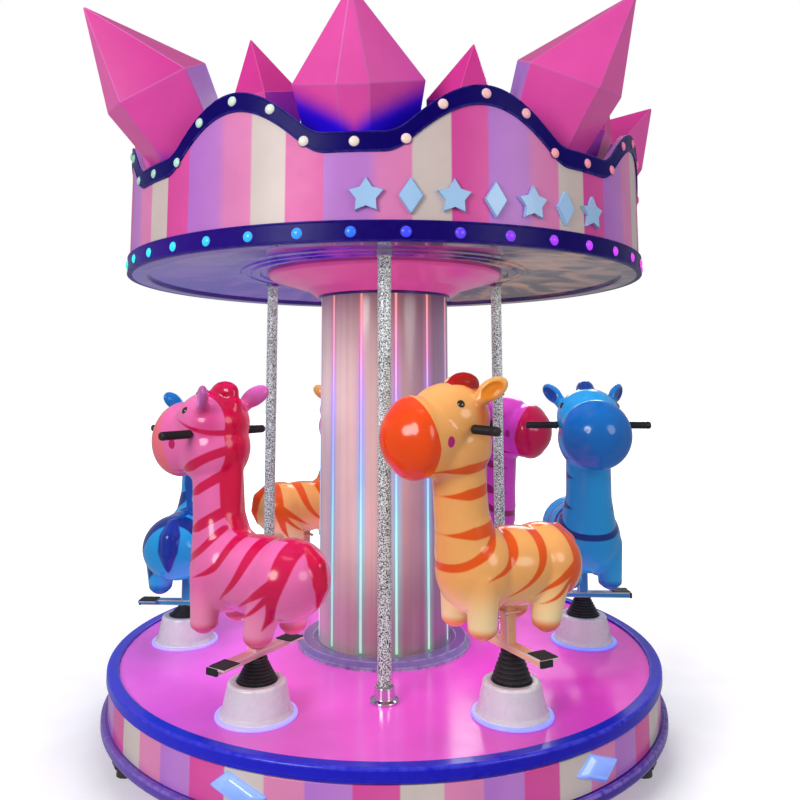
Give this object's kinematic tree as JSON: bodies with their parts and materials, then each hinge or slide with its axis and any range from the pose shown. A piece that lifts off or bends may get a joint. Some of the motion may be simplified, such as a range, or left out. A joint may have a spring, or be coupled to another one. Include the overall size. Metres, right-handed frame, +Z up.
{
  "type": "kiddie carousel",
  "caption": "Small carousel for young children: striped long-necked animals rise on a turning deck under a round canopy with a scalloped crown and pink crystals.",
  "frame": {"origin": "on the floor at the turning axis", "axes": "+Z up along the turning axis; -Y towards the side that the picture shows"},
  "size_m": [2.351, 2.351, 2.641],
  "materials": {
    "base_frame": "satin",
    "base_skirt": "gloss",
    "base_ring": "gloss",
    "deck_panel": "high gloss",
    "deck_rim": "gloss",
    "column": "pearl gloss",
    "column_foot_ring": "gloss",
    "column_capital": "gloss",
    "pole": "clear acrylic with bubbles",
    "ceiling_panel": "gloss",
    "canopy_band": "gloss",
    "crown_wall": "gloss",
    "crown_trim": "gloss",
    "roof_panel": "satin",
    "crystal": "gloss",
    "lift_cone": "gloss",
    "bellows": "matt",
    "animal_pink": "high gloss",
    "animal_orange": "high gloss",
    "animal_blue": "high gloss",
    "handlebar": "matt",
    "footrest_pink": "satin, dark tread plates",
    "footrest_orange": "satin, dark tread plates",
    "footrest_blue": "satin, dark tread plates"
  },
  "bodies": {
    "base": {"base_frame": "base_frame", "base_skirt": "base_skirt", "base_ring": "base_ring"},
    "turntable": {"deck_panel": "deck_panel", "deck_rim": "deck_rim", "column": "column", "column_foot_ring": "column_foot_ring", "column_capital": "column_capital", "pole_left": "pole", "pole_front": "pole", "pole_right": "pole", "ceiling_panel": "ceiling_panel", "canopy_band": "canopy_band", "crown_wall": "crown_wall", "crown_trim": "crown_trim", "roof_panel": "roof_panel", "crystal_1": "crystal", "crystal_2": "crystal", "crystal_3": "crystal", "crystal_4": "crystal", "crystal_5": "crystal", "crystal_6": "crystal", "crystal_7": "crystal", "crystal_8": "crystal", "lift_cone_1": "lift_cone", "bellows_1": "bellows", "lift_cone_2": "lift_cone", "bellows_2": "bellows", "lift_cone_3": "lift_cone", "bellows_3": "bellows", "lift_cone_4": "lift_cone", "bellows_4": "bellows", "lift_cone_5": "lift_cone", "bellows_5": "bellows", "lift_cone_6": "lift_cone", "bellows_6": "bellows"},
    "rider_1": {"animal_1": "animal_pink", "handlebar_1": "handlebar", "footrest_1": "footrest_pink"},
    "rider_2": {"animal_2": "animal_orange", "handlebar_2": "handlebar", "footrest_2": "footrest_orange"},
    "rider_3": {"animal_3": "animal_blue", "handlebar_3": "handlebar", "footrest_3": "footrest_blue"},
    "rider_4": {"animal_4": "animal_pink", "handlebar_4": "handlebar", "footrest_4": "footrest_pink"},
    "rider_5": {"animal_5": "animal_orange", "handlebar_5": "handlebar", "footrest_5": "footrest_orange"},
    "rider_6": {"animal_6": "animal_blue", "handlebar_6": "handlebar", "footrest_6": "footrest_blue"}
  },
  "joints": [
    {"name": "turntable_spin", "type": "hinge", "parent": "base", "child": "turntable", "pos_m": [0, 0, 0.28], "axis": [0, 0, -1], "continuous": true},
    {"name": "rider_1_lift", "type": "slide", "parent": "turntable", "child": "rider_1", "axis": [0, 0, 1], "range_m": [-0.05, 0.05], "deforming": ["bellows_1"]},
    {"name": "rider_2_lift", "type": "slide", "parent": "turntable", "child": "rider_2", "axis": [0, 0, 1], "range_m": [-0.08, 0.02], "deforming": ["bellows_2"]},
    {"name": "rider_3_lift", "type": "slide", "parent": "turntable", "child": "rider_3", "axis": [0, 0, 1], "range_m": [-0.053, 0.047], "deforming": ["bellows_3"]},
    {"name": "rider_4_lift", "type": "slide", "parent": "turntable", "child": "rider_4", "axis": [0, 0, 1], "range_m": [-0.01, 0.09], "deforming": ["bellows_4"]},
    {"name": "rider_5_lift", "type": "slide", "parent": "turntable", "child": "rider_5", "axis": [0, 0, 1], "range_m": [-0.044, 0.056], "deforming": ["bellows_5"]},
    {"name": "rider_6_lift", "type": "slide", "parent": "turntable", "child": "rider_6", "axis": [0, 0, 1], "range_m": [-0.015, 0.085], "deforming": ["bellows_6"]}
  ]
}
